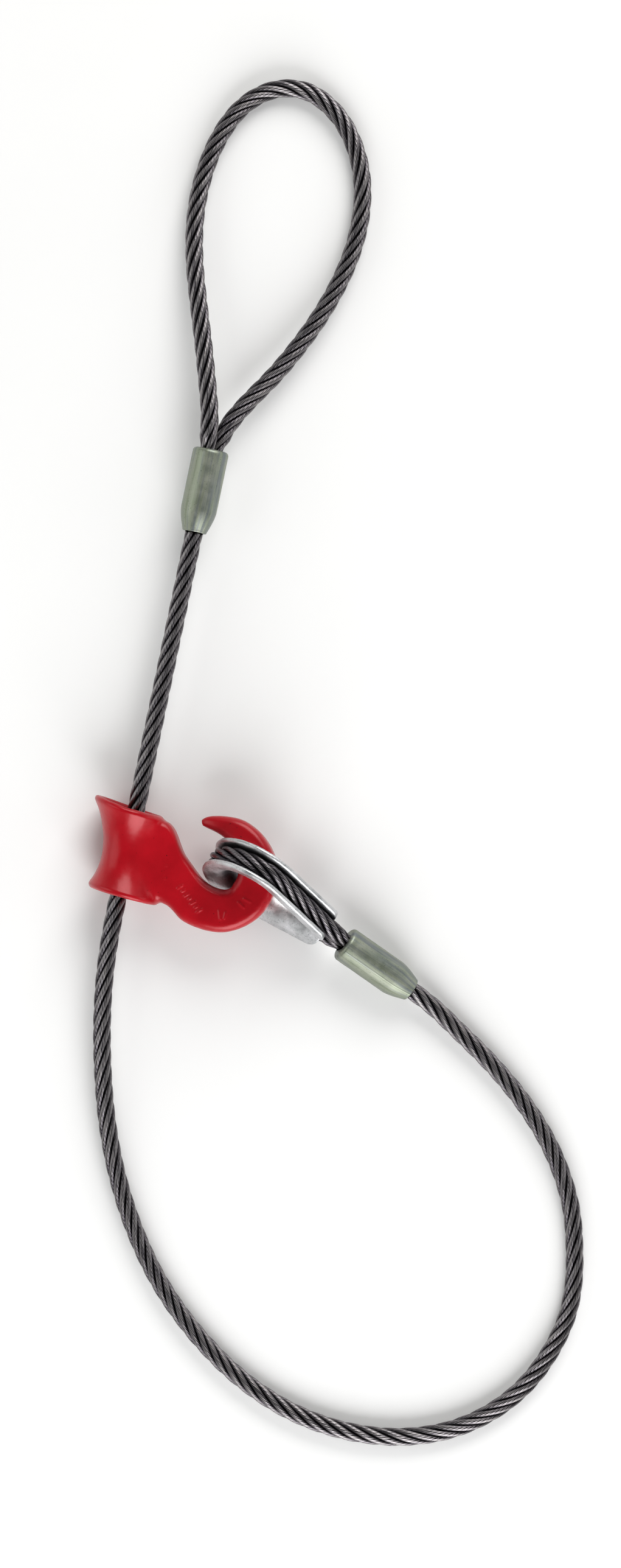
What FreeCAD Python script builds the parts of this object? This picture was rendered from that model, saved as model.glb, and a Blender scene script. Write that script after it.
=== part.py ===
"""Sliding choker sling: a steel wire rope with a soft eye, a thimble eye and a forged sliding hook.

The sling lies on a flat surface at Z = 0 with its eye towards +Y.  The rope leaves the eye sleeve
in a straight run, passes through the bell of the hook, goes round in a choke loop and ends in a
thimble eye, which hangs in the bowl of the same hook.  All sizes are in millimetres.
"""

import FreeCAD
import Part

import math
import os

V = FreeCAD.Vector

# Wire rope, nominal 3/8 in.
ROPE_DIAMETER = 9.5
ROPE_RADIUS = ROPE_DIAMETER / 2
# An arc between two straight runs of rope takes this share of the shorter run.
ARC_SHARE = 0.45

# The straight run that the hook slides on: from the tail of the eye sleeve down to the choke loop.
RUN_START = V(-30.9, 100.5, 17.3)
RUN_LEAN = 11.8
RUN_LENGTH = 202.6

# Swaged steel sleeves: a straight barrel, a round mouth edge and a tapered tail.
SLEEVE_LENGTH = 44.0
SLEEVE_RADIUS = 9.5
SLEEVE_MOUTH_ROUND = 2.8
SLEEVE_BARREL = 31.0
SLEEVE_TAIL_RADIUS = 6.4
SLEEVE_TAIL_ROUND = 1.0
SLEEVE_TAPER_BULGE = (0.9, 0.8)
SPLICE_RADIUS = 6.6
SPLICE_TAPER_START = 30.0

# The two rope legs at a sleeve's mouth lie side by side, a little over a rope diameter apart.
LEG_OFFSET = 4.85
EYE_LEG_RISE = 56.0
LEFT_LEG_RUN = 12.0

# Bell of the hook: trumpet outside, trumpet bore, and mouths that are cut on a slant.
BELL_CENTRE = V(-66.3, -66.4, 18.5)
BELL_LEAN = 4.4
HOOK_RISE = 5.0
BELL_HALF_LENGTH = 23.3
BELL_FLANGE_RADIUS = 18.5
BELL_WAIST_RADIUS = 12.4
BORE_WAIST_RADIUS = 7.4
BELL_RIM_ROUND = 2.05
BELL_SLANT = 0.20

# Centre of the hook's bowl, seen square on from the centre of the bell.
BOWL_CENTRE = V(50.3, -6.2, 0)

# Sections of the hook's arm from the bell to the tip of the prong, in the hook's own plane:
# inner edge, outer edge, half the thickness, and the radius of the rounded corners.
ARM_SECTIONS = [
    ((8.6, 16.6), (8.6, -19.5), 9.4, 3.6),
    ((13.0, 17.4), (13.0, -22.0), 8.4, 3.6),
    ((21.9, 16.3), (19.5, -24.6), 7.3, 4.0),
    ((30.6, 1.3), (28.0, -29.6), 7.0, 4.2),
    ((37.1, -6.9), (35.2, -34.8), 7.0, 4.5),
    ((43.9, -12.9), (43.4, -37.3), 7.0, 4.5),
    ((51.2, -15.5), (52.4, -38.0), 7.0, 4.5),
    ((57.5, -12.3), (71.9, -28.5), 7.0, 4.5),
    ((59.7, -5.8), (80.2, -7.2), 7.0, 4.5),
    ((58.9, 1.6), (76.2, 7.1), 6.8, 4.5),
    ((56.1, 7.2), (66.8, 17.5), 6.3, 4.3),
    ((50.5, 11.5), (55.4, 22.2), 5.4, 4.0),
    ((45.4, 14.2), (46.2, 22.4), 4.4, 3.4),
    ((41.6, 15.6), (41.2, 21.5), 3.3, 2.6),
    ((38.9, 16.8), (38.2, 19.5), 1.6, 1.1),
]

# Thimble: a U channel bent round the crown, with two straight legs that meet at the point.
CROWN_RADIUS = 14.3
THIMBLE_METAL = 2.8
GROOVE_RADIUS = 4.95
CHEEK_REACH = 4.95
CHEEK_FLARE = 0.6
THIMBLE_INSIDE_LENGTH = 54.0
THIMBLE_TIP = 46.2
THIMBLE_CORNER = 9.5
BLANK_MARGIN = 0.5

# Where the thimble end lies: its crown centre, and how it points, slopes and leans.
CROWN_PLACE = V(0.7, -81.1, 28.2)
THIMBLE_HEADING = -35.2
THIMBLE_SLOPE = 10.5
THIMBLE_LEAN = 21.0
SLEEVE_FROM_CROWN = 57.9
# The bend between a leg's straight and the sleeve takes this share of the straight beside the sleeve.
THIMBLE_BEND_SHARE = 0.9

# Routes of the rope where it lies free, chosen by hand.  Each list runs from end to end.
EYE_ROUTE = [
    (-16.8, 150.8, 13.3),
    (-11.0, 159.6, 13.0),
    (-2.6, 169.2, 12.0),
    (12.6, 184.3, 10.4),
    (29.2, 205.2, 8.7),
    (41.5, 224.5, 7.4),
    (51.5, 245.5, 6.4),
    (57.0, 267.0, 5.6),
    (57.5, 288.0, 5.1),
    (52.2, 307.6, 4.8),
    (42.6, 323.0, 4.8),
    (27.8, 333.8, 4.8),
    (10.2, 334.3, 4.8),
    (-6.3, 325.2, 5.0),
    (-18.5, 308.5, 5.7),
    (-26.5, 288.5, 7.0),
    (-30.8, 267.0, 8.9),
    (-31.2, 244.0, 11.2),
    (-28.8, 221.0, 13.8),
    (-26.0, 198.5, 16.4),
    (-23.8, 176.5, 19.0),
]
LOOP_ROUTE = [
    (-74.8, -109.8, 17.3),
    (-78.0, -132.0, 16.3),
    (-79.4, -157.0, 14.2),
    (-79.0, -183.0, 11.5),
    (-76.8, -210.0, 8.8),
    (-71.5, -238.0, 6.6),
    (-62.5, -266.0, 5.2),
    (-49.5, -293.5, 4.8),
    (-31.0, -319.5, 4.8),
    (-8.0, -343.0, 4.8),
    (20.0, -361.5, 4.8),
    (51.0, -372.0, 4.8),
    (83.0, -374.5, 4.8),
    (114.0, -367.5, 4.8),
    (141.0, -350.0, 4.8),
    (159.5, -324.5, 4.8),
    (168.6, -299.0, 4.8),
]
LOOP_MEETING = (168.6, -281.0, 4.8)
LOOP_END_ROUTE = [
    (168.6, -263.0, 4.8),
    (164.3, -241.5, 4.8),
    (155.0, -218.5, 4.8),
    (141.0, -196.5, 4.8),
    (124.0, -176.5, 4.9),
    (107.0, -160.0, 5.6),
]
LOOP_END_RUN = 13.0


def rope_tube(name, points):
    """Sweep the rope's round section along straight runs that tangent arcs join."""
    points = [V(*p) for p in points]
    edges = []
    start = points[0]
    length = 0.0
    radii = []
    for before, corner, after in zip(points, points[1:], points[2:]):
        back = (before - corner).normalize()
        ahead = (after - corner).normalize()
        half_turn = (math.pi - back.getAngle(ahead)) / 2
        shorter = min((before - corner).Length, (after - corner).Length)
        trim = ARC_SHARE * shorter
        radius = trim / math.tan(half_turn)
        radii.append(radius)
        arc_start = corner + back * trim
        arc_end = corner + ahead * trim
        inward = (back + ahead).normalize()
        middle = corner + inward * (radius / math.cos(half_turn) - radius)
        edges.append(Part.LineSegment(start, arc_start).toShape())
        edges.append(Part.Arc(arc_start, middle, arc_end).toShape())
        length += (arc_start - start).Length + 2 * half_turn * radius
        start = arc_end
    edges.append(Part.LineSegment(start, points[-1]).toShape())
    length += (points[-1] - start).Length
    section = Part.Wire(Part.Circle(points[0], points[1] - points[0], ROPE_RADIUS).toShape())
    tube = Part.Wire(edges).makePipeShell([section], True, False)
    fill = tube.Volume / (math.pi * ROPE_RADIUS**2 * length)
    print(f"{name}: length {length:.1f}, volume over section times length {fill:.4f}")
    print("  radii " + " ".join(f"{r:.0f}" for r in radii))
    return tube


def revolved(outline, axis):
    """Turn a closed outline in the XY plane about an axis through the origin."""
    face = Part.Face(Part.Wire(outline))
    return face.revolve(V(0, 0, 0), axis, 360)


def line(start, end):
    return Part.LineSegment(start, end).toShape()


def arc(start, middle, end):
    return Part.Arc(start, middle, end).toShape()


def make_splice():
    """Rope body inside a sleeve, with the strands of the eye laid back over it; mouth at the origin."""
    outline = Part.makePolygon(
        [
            V(0, 0, 0),
            V(SPLICE_RADIUS, 0, 0),
            V(SPLICE_RADIUS, -SPLICE_TAPER_START, 0),
            V(ROPE_RADIUS, -SLEEVE_LENGTH, 0),
            V(0, -SLEEVE_LENGTH, 0),
            V(0, 0, 0),
        ]
    )
    return revolved([outline], V(0, 1, 0))


def make_sleeve():
    """Swaged sleeve round the splice, with its mouth at the origin and its tail at -Y."""
    mouth = SLEEVE_MOUTH_ROUND
    tail = SLEEVE_TAIL_ROUND
    diagonal = math.sqrt(0.5)
    barrel_top = V(SLEEVE_RADIUS, -mouth, 0)
    mouth_inner = V(SLEEVE_RADIUS - mouth, 0, 0)
    mouth_middle = V(SLEEVE_RADIUS - mouth * (1 - diagonal), -mouth * (1 - diagonal), 0)
    barrel_end = V(SLEEVE_RADIUS, -SLEEVE_BARREL, 0)
    taper_end = V(SLEEVE_TAIL_RADIUS, -SLEEVE_LENGTH + tail, 0)
    narrowing, shift = SLEEVE_TAPER_BULGE
    taper_middle = V(SLEEVE_RADIUS - narrowing, shift - (SLEEVE_BARREL + SLEEVE_LENGTH) / 2, 0)
    tail_inner = V(SLEEVE_TAIL_RADIUS - tail, -SLEEVE_LENGTH, 0)
    tail_middle = V(
        SLEEVE_TAIL_RADIUS - tail * (1 - diagonal), -SLEEVE_LENGTH + tail * (1 - diagonal), 0
    )
    outline = [
        line(V(SPLICE_RADIUS, 0, 0), mouth_inner),
        arc(mouth_inner, mouth_middle, barrel_top),
        line(barrel_top, barrel_end),
        arc(barrel_end, taper_middle, taper_end),
        arc(taper_end, tail_middle, tail_inner),
        line(tail_inner, V(ROPE_RADIUS, -SLEEVE_LENGTH, 0)),
        line(V(ROPE_RADIUS, -SLEEVE_LENGTH, 0), V(SPLICE_RADIUS, -SPLICE_TAPER_START, 0)),
        line(V(SPLICE_RADIUS, -SPLICE_TAPER_START, 0), V(SPLICE_RADIUS, 0, 0)),
    ]
    return revolved(outline, V(0, 1, 0))


def trumpet_arc(waist_radius, side):
    """Arc of a trumpet wall from the bottom rim to the top rim, tangent to the rims' round edges.

    side is 1 for the outer wall, which touches each rim circle from outside, and -1 for the bore.
    """
    rim_height = BELL_HALF_LENGTH - BELL_RIM_ROUND
    rim_radius = BELL_FLANGE_RADIUS - BELL_RIM_ROUND
    to_rim = rim_radius - waist_radius
    sweep = (to_rim**2 + rim_height**2 - BELL_RIM_ROUND**2) / (2 * (to_rim + side * BELL_RIM_ROUND))
    centre = V(waist_radius + sweep, 0, 0)
    rim = V(rim_radius, rim_height, 0)
    top = centre + (rim - centre).normalize() * sweep
    return V(top.x, -top.y, 0), V(waist_radius, 0, 0), top


def slanted(shape):
    """Slide each layer along Y in proportion to X, so that both mouths lie on a slant."""
    slant = FreeCAD.Matrix()
    slant.A21 = -BELL_SLANT
    return shape.transformGeometry(slant)


def make_bell():
    """Wall of the bell: trumpet outside, trumpet bore, and round rims."""
    outer_bottom, outer_waist, outer_top = trumpet_arc(BELL_WAIST_RADIUS, 1)
    bore_bottom, bore_waist, bore_top = trumpet_arc(BORE_WAIST_RADIUS, -1)
    rim_radius = BELL_FLANGE_RADIUS - BELL_RIM_ROUND
    outline = [
        arc(outer_bottom, outer_waist, outer_top),
        arc(outer_top, V(rim_radius, BELL_HALF_LENGTH, 0), bore_top),
        arc(bore_top, bore_waist, bore_bottom),
        arc(bore_bottom, V(rim_radius, -BELL_HALF_LENGTH, 0), outer_bottom),
    ]
    return slanted(revolved(outline, V(0, 1, 0)))


def make_bore():
    """The space inside the bell, which the arm's root must not fill."""
    bottom, waist, top = trumpet_arc(BORE_WAIST_RADIUS, -1)
    outline = [
        arc(bottom, waist, top),
        line(top, V(0, top.y, 0)),
        line(V(0, top.y, 0), V(0, bottom.y, 0)),
        line(V(0, bottom.y, 0), bottom),
    ]
    return slanted(revolved(outline, V(0, 1, 0)))


def rounded_section(inner, outer, half_thickness, corner):
    """Rounded rectangle square to the arm, from its inner edge to its outer edge, about the plane Z = 0."""
    inner = V(*inner, 0)
    outer = V(*outer, 0)
    middle = (inner + outer) / 2
    across = (outer - inner).normalize()
    half_width = (outer - inner).Length / 2
    diagonal = corner * math.sqrt(0.5)

    def at(side, height):
        return middle + across * side + V(0, 0, height)

    edges = []
    # Corners in order round the section, as signs of the side and the height.
    corners = [(1, 1), (-1, 1), (-1, -1), (1, -1)]
    ends = []
    for side, up in corners:
        centre = (side * (half_width - corner), up * (half_thickness - corner))
        on_side = at(centre[0] + side * corner, centre[1])
        on_face = at(centre[0], centre[1] + up * corner)
        bend = at(centre[0] + side * diagonal, centre[1] + up * diagonal)
        first, last = (on_side, on_face) if side * up > 0 else (on_face, on_side)
        ends.append((first, bend, last))
    for (first, bend, last), following in zip(ends, ends[1:] + ends[:1]):
        edges.append(arc(first, bend, last))
        edges.append(line(last, following[0]))
    return Part.Wire(edges)


def make_arm():
    """Shank, bowl and prong of the hook as one blended bar through the sections of ARM_SECTIONS."""
    wires = [rounded_section(*section) for section in ARM_SECTIONS]
    return Part.makeLoft(wires, True, False)


def make_hook():
    return make_arm().cut(make_bore()).fuse(make_bell()).removeSplitter()


def channel_outline():
    """Section of the thimble: X across the channel, Y outwards, the rope's centre at the origin."""
    outside = GROOVE_RADIUS + THIMBLE_METAL
    lip = THIMBLE_METAL / 2
    inner_lip = V(GROOVE_RADIUS + CHEEK_FLARE, CHEEK_REACH - lip, 0)
    outer_lip = V(outside + CHEEK_FLARE, CHEEK_REACH - lip, 0)
    lip_top = V((inner_lip.x + outer_lip.x) / 2, CHEEK_REACH, 0)

    def mirrored(point):
        return V(-point.x, point.y, point.z)

    return [
        arc(V(-GROOVE_RADIUS, 0, 0), V(0, -GROOVE_RADIUS, 0), V(GROOVE_RADIUS, 0, 0)),
        line(V(GROOVE_RADIUS, 0, 0), inner_lip),
        arc(inner_lip, lip_top, outer_lip),
        line(outer_lip, V(outside, 0, 0)),
        arc(V(outside, 0, 0), V(0, -outside, 0), V(-outside, 0, 0)),
        line(V(-outside, 0, 0), mirrored(outer_lip)),
        arc(mirrored(outer_lip), mirrored(lip_top), mirrored(inner_lip)),
        line(mirrored(inner_lip), V(-GROOVE_RADIUS, 0, 0)),
    ]


def thimble_angles():
    """Half angle between the legs, and the rope's radius round the crown."""
    point_reach = THIMBLE_INSIDE_LENGTH - CROWN_RADIUS
    half_angle = math.degrees(math.asin(CROWN_RADIUS / point_reach))
    return half_angle, CROWN_RADIUS + THIMBLE_METAL + GROOVE_RADIUS


def make_thimble():
    """Thimble with its crown centre at the origin and its point towards +X, channel outwards."""
    half_angle, path_radius = thimble_angles()
    angle = math.radians(half_angle)
    section = Part.Face(Part.Wire(channel_outline()))
    # Stand the section up where the upper leg leaves the crown: across goes to Z, outwards to Y.
    section.rotate(V(0, 0, 0), V(0, 1, 0), -90)
    section.translate(V(0, path_radius, 0))
    section.rotate(V(0, 0, 0), V(0, 0, 1), -half_angle)
    crown = section.revolve(V(0, 0, 0), V(0, 0, 1), 180 + 2 * half_angle)
    leg_length = 2 * THIMBLE_INSIDE_LENGTH
    leg = section.extrude(V(math.cos(angle), -math.sin(angle), 0) * leg_length)
    body = crown.fuse([leg, leg.mirror(V(0, 0, 0), V(0, 1, 0))])
    # Beyond the point each leg's metal would cross into the other leg's channel.
    groove = groove_tool(path_radius, angle, leg_length)
    return body.common(thimble_blank(path_radius, angle)).cut(groove).removeSplitter()


def thimble_blank(path_radius, angle):
    """Block that follows the cheeks' rims and ends at the tip with round corners."""
    rim = path_radius + CHEEK_REACH
    tip_half_height = (rim - THIMBLE_TIP * math.sin(angle)) / math.cos(angle) + BLANK_MARGIN
    wide = rim + BLANK_MARGIN
    wide_end = THIMBLE_TIP - (wide - tip_half_height) / math.tan(angle)
    outline = [
        V(-wide, wide, 0),
        V(wide_end, wide, 0),
        V(THIMBLE_TIP, tip_half_height, 0),
        V(THIMBLE_TIP, -tip_half_height, 0),
        V(wide_end, -wide, 0),
        V(-wide, -wide, 0),
        V(-wide, wide, 0),
    ]
    block = Part.Face(Part.makePolygon(outline)).extrude(V(0, 0, 2 * wide))
    block.translate(V(0, 0, -wide))
    corners = [e for e in block.Edges if all(abs(v.X - THIMBLE_TIP) < 0.01 for v in e.Vertexes)]
    upright = [e for e in corners if abs(e.Vertexes[0].Z - e.Vertexes[1].Z) > 1]
    return block.makeFillet(THIMBLE_CORNER, upright)


def groove_tool(path_radius, angle, leg_length):
    """Round bars along both legs, as large as the channel is deep."""
    start = V(math.sin(angle), math.cos(angle), 0) * path_radius
    direction = V(math.cos(angle), -math.sin(angle), 0)
    bar = Part.makeCylinder(GROOVE_RADIUS, leg_length, start, direction)
    return bar.fuse(bar.mirror(V(0, 0, 0), V(0, 1, 0)))


def thimble_rope_edges():
    """Rope from one side of the sleeve's mouth round the thimble to the other side, as a path."""
    half_angle, path_radius = thimble_angles()
    angle = math.radians(half_angle)
    tangent_point = V(path_radius * math.sin(angle), path_radius * math.cos(angle), 0)
    direction = V(math.cos(angle), -math.sin(angle), 0)
    mouth = V(SLEEVE_FROM_CROWN, LEG_OFFSET, 0)
    to_corner = (tangent_point.y - LEG_OFFSET) / math.sin(angle)
    corner = tangent_point + direction * to_corner
    trim = THIMBLE_BEND_SHARE * (mouth.x - corner.x)
    radius = trim / math.tan(angle / 2)
    arc_start = corner - direction * trim
    arc_end = corner + V(trim, 0, 0)
    arc_middle = arc_end + V(-radius * math.sin(angle / 2), radius * (1 - math.cos(angle / 2)), 0)
    print(f"thimble_rope: crown radius {path_radius:.1f}, radius towards the sleeve {radius:.0f}")

    def mirrored(point):
        return V(point.x, -point.y, point.z)

    return [
        line(mouth, arc_end),
        arc(arc_end, arc_middle, arc_start),
        line(arc_start, tangent_point),
        arc(tangent_point, V(-path_radius, 0, 0), mirrored(tangent_point)),
        line(mirrored(tangent_point), mirrored(arc_start)),
        arc(mirrored(arc_start), mirrored(arc_middle), mirrored(arc_end)),
        line(mirrored(arc_end), mirrored(mouth)),
    ]


def make_thimble_rope():
    section = Part.Circle(V(SLEEVE_FROM_CROWN, LEG_OFFSET, 0), V(-1, 0, 0), ROPE_RADIUS).toShape()
    return Part.Wire(thimble_rope_edges()).makePipeShell([Part.Wire(section)], True, False)


def turn(axis, degrees):
    return FreeCAD.Rotation(axis, degrees)


def placed(shape, rotation, position):
    """Move a shape from its own frame to its place in the sling."""
    matrix = FreeCAD.Placement(position, rotation).toMatrix()
    return shape.transformShape(matrix, True)


def main():
    os.makedirs("parts", exist_ok=True)
    run_rotation = turn(V(0, 0, 1), -RUN_LEAN)
    run_direction = run_rotation.multVec(V(0, 1, 0))
    run_end = RUN_START - run_direction * RUN_LENGTH
    eye_mouth = RUN_START + run_direction * SLEEVE_LENGTH
    leg_side = run_rotation.multVec(turn(V(0, 1, 0), EYE_LEG_RISE).multVec(V(1, 0, 0)))
    right_leg = eye_mouth + leg_side * LEG_OFFSET
    left_leg = eye_mouth - leg_side * LEG_OFFSET
    left_leg_run = left_leg + run_direction * LEFT_LEG_RUN

    hook_rotation = turn(V(0, 0, 1), -BELL_LEAN) * turn(V(0, 1, 0), -HOOK_RISE)
    thimble_rotation = (
        turn(V(0, 0, 1), THIMBLE_HEADING)
        * turn(V(0, 1, 0), THIMBLE_SLOPE)
        * turn(V(1, 0, 0), 90 - THIMBLE_LEAN)
    )
    thimble_direction = thimble_rotation.multVec(V(1, 0, 0))
    thimble_mouth = CROWN_PLACE + thimble_direction * SLEEVE_FROM_CROWN
    thimble_tail = thimble_mouth + thimble_direction * SLEEVE_LENGTH
    sleeve_rotation = thimble_rotation * turn(V(0, 0, 1), 90)
    loop_end_exit = thimble_tail + thimble_direction * LOOP_END_RUN

    eye_points = [tuple(right_leg)] + EYE_ROUTE + [tuple(left_leg_run), tuple(left_leg)]
    loop_points = [tuple(run_end)] + LOOP_ROUTE + [LOOP_MEETING]
    loop_end_points = [LOOP_MEETING] + LOOP_END_ROUTE + [tuple(loop_end_exit), tuple(thimble_tail)]

    nodes = {
        "eye_rope": rope_tube("eye_rope", eye_points),
        "eye_sleeve": placed(make_sleeve(), run_rotation, eye_mouth),
        "eye_splice": placed(make_splice(), run_rotation, eye_mouth),
        "standing_rope": Part.makeCylinder(ROPE_RADIUS, RUN_LENGTH, RUN_START, run_direction * -1),
        "choke_loop_rope": rope_tube("choke_loop_rope", loop_points),
        "choker_hook": placed(make_hook(), hook_rotation, BELL_CENTRE),
        "thimble": placed(make_thimble(), thimble_rotation, CROWN_PLACE),
        "thimble_rope": placed(make_thimble_rope(), thimble_rotation, CROWN_PLACE),
        "thimble_sleeve": placed(make_sleeve(), sleeve_rotation, thimble_mouth),
        "thimble_splice": placed(make_splice(), sleeve_rotation, thimble_mouth),
        "choke_loop_end_rope": rope_tube("choke_loop_end_rope", loop_end_points),
    }
    for name, shape in nodes.items():
        shape.exportStep(f"parts/{name}.step")
        box = shape.optimalBoundingBox(True, False)
        print(
            f"{name}: solids {len(shape.Solids)}, valid {shape.isValid()}, volume {shape.Volume:.0f}, "
            f"X {box.XMin:.1f}..{box.XMax:.1f}, Y {box.YMin:.1f}..{box.YMax:.1f}, "
            f"Z {box.ZMin:.2f}..{box.ZMax:.2f}"
        )
    bowl = BELL_CENTRE + hook_rotation.multVec(BOWL_CENTRE)
    print(f"slide axis {tuple(round(c, 5) for c in run_direction)}")
    print(f"bowl centre {tuple(round(c, 2) for c in bowl)}")


main()
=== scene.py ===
"""Looks of the sliding choker sling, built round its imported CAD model.

Laid strands of wire take the place of the plain rope tubes.  The forged hook, the thimble and the
swaged sleeves get finished surfaces, and the sling lies on a pale floor under soft light.
Lengths are in metres, in the same frame as the CAD model, unless a comment says millimetres.
"""

import math

import bmesh
import bpy
import numpy as np
from mathutils import Matrix, Vector, kdtree, noise


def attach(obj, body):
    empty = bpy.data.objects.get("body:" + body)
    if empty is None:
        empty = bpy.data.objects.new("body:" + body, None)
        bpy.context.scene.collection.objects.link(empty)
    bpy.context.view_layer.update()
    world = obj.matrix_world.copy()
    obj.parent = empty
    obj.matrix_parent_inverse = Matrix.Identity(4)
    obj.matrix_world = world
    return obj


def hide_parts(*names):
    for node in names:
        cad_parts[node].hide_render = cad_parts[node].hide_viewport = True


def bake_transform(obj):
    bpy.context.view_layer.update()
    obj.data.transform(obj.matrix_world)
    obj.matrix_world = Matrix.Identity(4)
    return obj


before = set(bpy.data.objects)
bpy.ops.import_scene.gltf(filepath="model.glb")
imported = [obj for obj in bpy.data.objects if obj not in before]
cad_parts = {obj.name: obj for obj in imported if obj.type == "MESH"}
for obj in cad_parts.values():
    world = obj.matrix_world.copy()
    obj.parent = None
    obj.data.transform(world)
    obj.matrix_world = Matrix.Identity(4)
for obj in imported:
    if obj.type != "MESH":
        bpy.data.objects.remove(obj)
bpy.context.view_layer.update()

MM = 0.001

# Wire rope: six strands, twelve outer wires each, laid right handed with the wires laid the other way.
ROPE_DIAMETER = 9.5 * MM
ROPE_LAY = 59.5 * MM
WIRE_LAY = 21.0 * MM
STRANDS = 6
STRAND_RADIUS = 1.54 * MM
STRAND_CIRCLE = ROPE_DIAMETER / 2 - STRAND_RADIUS
CORE_RADIUS = 2.3 * MM
WIRES = 12
POINTS_PER_WIRE = 3
WIRE_GROOVE = 0.17 * MM
CORE_POINTS = 12
RING_STEP = 1.17 * MM
# Wear and a painted highlight fade from a strand's crown by this power towards painted shade, and the
# grooves between wires keep this share.
CROWN_FADE_POWER = 1.7
GROOVE_SHADE_SHARE = 0.30
# Streaks on the wires: how far one runs along the rope, and how fast they change across it.
STREAK_LENGTH = 14 * MM
STREAK_RATE = 1.3
# Where the strands start round the rope, in radians.
EYE_PHASE = 0.4
MAIN_PHASE = 0.9
THIMBLE_PHASE = 0.0

# Where the fittings lie, as in the CAD model.
RUN_LEAN = 11.8
SLEEVE_LENGTH = 44.0 * MM
SLEEVE_RADIUS = 9.5 * MM
EYE_MOUTH = Vector((-21.90, 143.57, 17.3)) * MM
THIMBLE_MOUTH = Vector((47.22, -113.92, 17.65)) * MM
CROWN_PLACE = Vector((0.7, -81.1, 28.2)) * MM
THIMBLE_HEADING = -35.2
THIMBLE_SLOPE = 10.5
THIMBLE_LEAN = 21.0
SLEEVE_FROM_CROWN = 57.9 * MM
THIMBLE_BEND_SHARE = 0.9
LEG_OFFSET = 4.85 * MM
CROWN_RADIUS = 14.3 * MM
THIMBLE_METAL = 2.8 * MM
GROOVE_RADIUS = 4.95 * MM
THIMBLE_INSIDE_LENGTH = 54.0 * MM
BELL_CENTRE = Vector((-66.3, -66.4, 18.5)) * MM
BELL_LEAN = 4.4
HOOK_RISE = 5.0
HOOK_HALF_THICKNESS = 7.0 * MM

# Routes of the rope in millimetres, with the same points as in the CAD model's source: chosen with
# a centreline traced from the photo as a guide.  STANDING_ROUTE and the ends that fittings hold
# follow from where the fittings lie in that source, and are written out here.
EYE_ROUTE = [
    (-19.25, 143.02, 13.28),
    (-16.8, 150.8, 13.3),
    (-11.0, 159.6, 13.0),
    (-2.6, 169.2, 12.0),
    (12.6, 184.3, 10.4),
    (29.2, 205.2, 8.7),
    (41.5, 224.5, 7.4),
    (51.5, 245.5, 6.4),
    (57.0, 267.0, 5.6),
    (57.5, 288.0, 5.1),
    (52.2, 307.6, 4.8),
    (42.6, 323.0, 4.8),
    (27.8, 333.8, 4.8),
    (10.2, 334.3, 4.8),
    (-6.3, 325.2, 5.0),
    (-18.5, 308.5, 5.7),
    (-26.5, 288.5, 7.0),
    (-30.8, 267.0, 8.9),
    (-31.2, 244.0, 11.2),
    (-28.8, 221.0, 13.8),
    (-26.0, 198.5, 16.4),
    (-23.8, 176.5, 19.0),
    (-22.10, 155.87, 21.32),
    (-24.56, 144.12, 21.32),
]
STANDING_ROUTE = [
    (-30.90, 100.50, 17.3),
    (-42.35, 45.70, 17.3),
    (-62.90, -52.67, 17.3),
    (-72.33, -97.82, 17.3),
]
LOOP_ROUTE = [
    (-72.33, -97.82, 17.3),
    (-74.8, -109.8, 17.3),
    (-78.0, -132.0, 16.3),
    (-79.4, -157.0, 14.2),
    (-79.0, -183.0, 11.5),
    (-76.8, -210.0, 8.8),
    (-71.5, -238.0, 6.6),
    (-62.5, -266.0, 5.2),
    (-49.5, -293.5, 4.8),
    (-31.0, -319.5, 4.8),
    (-8.0, -343.0, 4.8),
    (20.0, -361.5, 4.8),
    (51.0, -372.0, 4.8),
    (83.0, -374.5, 4.8),
    (114.0, -367.5, 4.8),
    (141.0, -350.0, 4.8),
    (159.5, -324.5, 4.8),
    (168.6, -299.0, 4.8),
    (168.6, -281.0, 4.8),
]
LOOP_END_ROUTE = [
    (168.6, -281.0, 4.8),
    (168.6, -263.0, 4.8),
    (164.3, -241.5, 4.8),
    (155.0, -218.5, 4.8),
    (141.0, -196.5, 4.8),
    (124.0, -176.5, 4.9),
    (107.0, -160.0, 5.6),
    (93.02, -146.23, 7.26),
    (82.57, -138.86, 9.63),
]


def turned(axis, degrees):
    return Matrix.Rotation(math.radians(degrees), 4, axis)


RUN_FRAME = Matrix.Translation(EYE_MOUTH) @ turned("Z", -RUN_LEAN)
THIMBLE_TURN = turned("Z", THIMBLE_HEADING) @ turned("Y", THIMBLE_SLOPE)
THIMBLE_FRAME = Matrix.Translation(CROWN_PLACE) @ THIMBLE_TURN @ turned("X", 90 - THIMBLE_LEAN)
THIMBLE_SLEEVE_FRAME = Matrix.Translation(THIMBLE_MOUTH) @ THIMBLE_TURN @ turned("Z", 90)
HOOK_FRAME = Matrix.Translation(BELL_CENTRE) @ turned("Z", -BELL_LEAN) @ turned("Y", -HOOK_RISE)


# Camera: straight above the sling, looking down, with the eye at the top of the picture.
VIEW_CENTRE = Vector((29.9, -31.0, 0)) * MM
VIEW_HEIGHT = 824.3 * MM
CAMERA_DISTANCE = 2.6
SENSOR_WIDTH = 36.0
CLIP_END = 20


def add_camera():
    data = bpy.data.cameras.new("camera")
    data.sensor_width = SENSOR_WIDTH
    data.lens = SENSOR_WIDTH * CAMERA_DISTANCE / VIEW_HEIGHT
    data.clip_end = CLIP_END
    camera = bpy.data.objects.new("camera", data)
    camera.location = VIEW_CENTRE + Vector((0, 0, CAMERA_DISTANCE))
    bpy.context.scene.collection.objects.link(camera)
    bpy.context.scene.camera = camera


# Materials.  Noise mostly lies between these two values.  Its finer octaves keep this much weight.
NOISE_LOW = 0.3
NOISE_HIGH = 0.7
NOISE_ROUGHNESS = 0.55
# The colour sockets of a mix node, which has others of the same names.
MIX_FIRST = 6
MIX_SECOND = 7
MIX_RESULT = 2


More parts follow.
